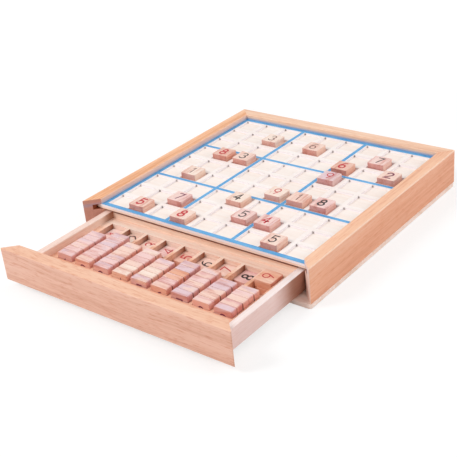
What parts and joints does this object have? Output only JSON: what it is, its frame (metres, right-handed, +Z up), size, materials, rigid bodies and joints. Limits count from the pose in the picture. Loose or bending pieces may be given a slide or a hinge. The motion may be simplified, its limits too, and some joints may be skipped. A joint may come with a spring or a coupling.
{
  "type": "sudoku board",
  "caption": "Square wooden number puzzle board with a white pocketed grid, loose numeral tiles and a mitred front that pulls out as a shallow drawer with a slotted tile tray.",
  "frame": {"origin": "centre of the case's underside, on the surface that it rests on", "axes": "+Z up, +Y from the drawer to the back rail, +X to the right seen from the drawer"},
  "size_m": [0.28, 0.39, 0.042],
  "materials": {
    "rail_wood": "oiled beech",
    "front_wood": "oiled beech, paler",
    "panel_wood": "plain plywood",
    "drawer_wood": "plain beech",
    "tray_wood": "plain beech",
    "board_paint": "thin white paint with blue lines",
    "board_base_paint": "thin white paint",
    "tile_wood": "sanded, printed numerals"
  },
  "bodies": {
    "case": {"left_rail": "rail_wood", "right_rail": "rail_wood", "back_rail": "rail_wood", "bottom_panel": "panel_wood", "board_base": "board_base_paint", "grid_sheet": "board_paint"},
    "drawer": {"drawer_front": "front_wood", "drawer_left_side": "drawer_wood", "drawer_right_side": "drawer_wood", "drawer_back": "drawer_wood", "drawer_bottom": "panel_wood", "tile_tray": "tray_wood"},
    "board_tile_1": {"board_tile_1": "tile_wood"},
    "board_tile_2": {"board_tile_2": "tile_wood"},
    "board_tile_3": {"board_tile_3": "tile_wood"},
    "board_tile_4": {"board_tile_4": "tile_wood"},
    "board_tile_5": {"board_tile_5": "tile_wood"},
    "board_tile_6": {"board_tile_6": "tile_wood"},
    "board_tile_7": {"board_tile_7": "tile_wood"},
    "board_tile_8": {"board_tile_8": "tile_wood"},
    "board_tile_9": {"board_tile_9": "tile_wood"},
    "board_tile_10": {"board_tile_10": "tile_wood"},
    "board_tile_11": {"board_tile_11": "tile_wood"},
    "board_tile_12": {"board_tile_12": "tile_wood"},
    "board_tile_13": {"board_tile_13": "tile_wood"},
    "board_tile_14": {"board_tile_14": "tile_wood"},
    "board_tile_15": {"board_tile_15": "tile_wood"},
    "board_tile_16": {"board_tile_16": "tile_wood"},
    "board_tile_17": {"board_tile_17": "tile_wood"},
    "board_tile_18": {"board_tile_18": "tile_wood"},
    "board_tile_19": {"board_tile_19": "tile_wood"},
    "standing_tiles_1": {"standing_tiles_1": "tile_wood"},
    "standing_tiles_2": {"standing_tiles_2": "tile_wood"},
    "standing_tiles_3": {"standing_tiles_3": "tile_wood"},
    "standing_tiles_4": {"standing_tiles_4": "tile_wood"},
    "standing_tiles_5": {"standing_tiles_5": "tile_wood"},
    "standing_tiles_6": {"standing_tiles_6": "tile_wood"},
    "standing_tiles_7": {"standing_tiles_7": "tile_wood"},
    "standing_tiles_8": {"standing_tiles_8": "tile_wood"},
    "standing_tiles_9": {"standing_tiles_9": "tile_wood"},
    "flat_tiles_1": {"flat_tiles_1": "tile_wood"},
    "flat_tiles_2": {"flat_tiles_2": "tile_wood"},
    "flat_tiles_3": {"flat_tiles_3": "tile_wood"},
    "flat_tiles_4": {"flat_tiles_4": "tile_wood"},
    "flat_tiles_5": {"flat_tiles_5": "tile_wood"},
    "flat_tiles_6": {"flat_tiles_6": "tile_wood"},
    "flat_tiles_7": {"flat_tiles_7": "tile_wood"},
    "flat_tiles_8": {"flat_tiles_8": "tile_wood"},
    "flat_tiles_9": {"flat_tiles_9": "tile_wood"}
  },
  "joints": [
    {"name": "drawer_slide", "type": "slide", "parent": "case", "child": "drawer", "axis": [0, -1, 0], "range_m": [-0.1095, 0.01]},
    {"name": "board_tile_1_lift", "type": "slide", "parent": "case", "child": "board_tile_1", "axis": [0, 0, 1], "range_m": [0, 0.03]},
    {"name": "board_tile_2_lift", "type": "slide", "parent": "case", "child": "board_tile_2", "axis": [0, 0, 1], "range_m": [0, 0.03]},
    {"name": "board_tile_3_lift", "type": "slide", "parent": "case", "child": "board_tile_3", "axis": [0, 0, 1], "range_m": [0, 0.03]},
    {"name": "board_tile_4_lift", "type": "slide", "parent": "case", "child": "board_tile_4", "axis": [0, 0, 1], "range_m": [0, 0.03]},
    {"name": "board_tile_5_lift", "type": "slide", "parent": "case", "child": "board_tile_5", "axis": [0, 0, 1], "range_m": [0, 0.03]},
    {"name": "board_tile_6_lift", "type": "slide", "parent": "case", "child": "board_tile_6", "axis": [0, 0, 1], "range_m": [0, 0.03]},
    {"name": "board_tile_7_lift", "type": "slide", "parent": "case", "child": "board_tile_7", "axis": [0, 0, 1], "range_m": [0, 0.03]},
    {"name": "board_tile_8_lift", "type": "slide", "parent": "case", "child": "board_tile_8", "axis": [0, 0, 1], "range_m": [0, 0.03]},
    {"name": "board_tile_9_lift", "type": "slide", "parent": "case", "child": "board_tile_9", "axis": [0, 0, 1], "range_m": [0, 0.03]},
    {"name": "board_tile_10_lift", "type": "slide", "parent": "case", "child": "board_tile_10", "axis": [0, 0, 1], "range_m": [0, 0.03]},
    {"name": "board_tile_11_lift", "type": "slide", "parent": "case", "child": "board_tile_11", "axis": [0, 0, 1], "range_m": [0, 0.03]},
    {"name": "board_tile_12_lift", "type": "slide", "parent": "case", "child": "board_tile_12", "axis": [0, 0, 1], "range_m": [0, 0.03]},
    {"name": "board_tile_13_lift", "type": "slide", "parent": "case", "child": "board_tile_13", "axis": [0, 0, 1], "range_m": [0, 0.03]},
    {"name": "board_tile_14_lift", "type": "slide", "parent": "case", "child": "board_tile_14", "axis": [0, 0, 1], "range_m": [0, 0.03]},
    {"name": "board_tile_15_lift", "type": "slide", "parent": "case", "child": "board_tile_15", "axis": [0, 0, 1], "range_m": [0, 0.03]},
    {"name": "board_tile_16_lift", "type": "slide", "parent": "case", "child": "board_tile_16", "axis": [0, 0, 1], "range_m": [0, 0.03]},
    {"name": "board_tile_17_lift", "type": "slide", "parent": "case", "child": "board_tile_17", "axis": [0, 0, 1], "range_m": [0, 0.03]},
    {"name": "board_tile_18_lift", "type": "slide", "parent": "case", "child": "board_tile_18", "axis": [0, 0, 1], "range_m": [0, 0.03]},
    {"name": "board_tile_19_lift", "type": "slide", "parent": "case", "child": "board_tile_19", "axis": [0, 0, 1], "range_m": [0, 0.03]},
    {"name": "standing_tiles_1_lift", "type": "slide", "parent": "drawer", "child": "standing_tiles_1", "axis": [0, 0, 1], "range_m": [0, 0.04]},
    {"name": "standing_tiles_2_lift", "type": "slide", "parent": "drawer", "child": "standing_tiles_2", "axis": [0, 0, 1], "range_m": [0, 0.04]},
    {"name": "standing_tiles_3_lift", "type": "slide", "parent": "drawer", "child": "standing_tiles_3", "axis": [0, 0, 1], "range_m": [0, 0.04]},
    {"name": "standing_tiles_4_lift", "type": "slide", "parent": "drawer", "child": "standing_tiles_4", "axis": [0, 0, 1], "range_m": [0, 0.04]},
    {"name": "standing_tiles_5_lift", "type": "slide", "parent": "drawer", "child": "standing_tiles_5", "axis": [0, 0, 1], "range_m": [0, 0.04]},
    {"name": "standing_tiles_6_lift", "type": "slide", "parent": "drawer", "child": "standing_tiles_6", "axis": [0, 0, 1], "range_m": [0, 0.04]},
    {"name": "standing_tiles_7_lift", "type": "slide", "parent": "drawer", "child": "standing_tiles_7", "axis": [0, 0, 1], "range_m": [0, 0.04]},
    {"name": "standing_tiles_8_lift", "type": "slide", "parent": "drawer", "child": "standing_tiles_8", "axis": [0, 0, 1], "range_m": [0, 0.04]},
    {"name": "standing_tiles_9_lift", "type": "slide", "parent": "drawer", "child": "standing_tiles_9", "axis": [0, 0, 1], "range_m": [0, 0.04]},
    {"name": "flat_tiles_1_lift", "type": "slide", "parent": "drawer", "child": "flat_tiles_1", "axis": [0, 0, 1], "range_m": [0, 0.04]},
    {"name": "flat_tiles_2_lift", "type": "slide", "parent": "drawer", "child": "flat_tiles_2", "axis": [0, 0, 1], "range_m": [0, 0.04]},
    {"name": "flat_tiles_3_lift", "type": "slide", "parent": "drawer", "child": "flat_tiles_3", "axis": [0, 0, 1], "range_m": [0, 0.04]},
    {"name": "flat_tiles_4_lift", "type": "slide", "parent": "drawer", "child": "flat_tiles_4", "axis": [0, 0, 1], "range_m": [0, 0.04]},
    {"name": "flat_tiles_5_lift", "type": "slide", "parent": "drawer", "child": "flat_tiles_5", "axis": [0, 0, 1], "range_m": [0, 0.04]},
    {"name": "flat_tiles_6_lift", "type": "slide", "parent": "drawer", "child": "flat_tiles_6", "axis": [0, 0, 1], "range_m": [0, 0.04]},
    {"name": "flat_tiles_7_lift", "type": "slide", "parent": "drawer", "child": "flat_tiles_7", "axis": [0, 0, 1], "range_m": [0, 0.04]},
    {"name": "flat_tiles_8_lift", "type": "slide", "parent": "drawer", "child": "flat_tiles_8", "axis": [0, 0, 1], "range_m": [0, 0.04]},
    {"name": "flat_tiles_9_lift", "type": "slide", "parent": "drawer", "child": "flat_tiles_9", "axis": [0, 0, 1], "range_m": [0, 0.04]}
  ]
}
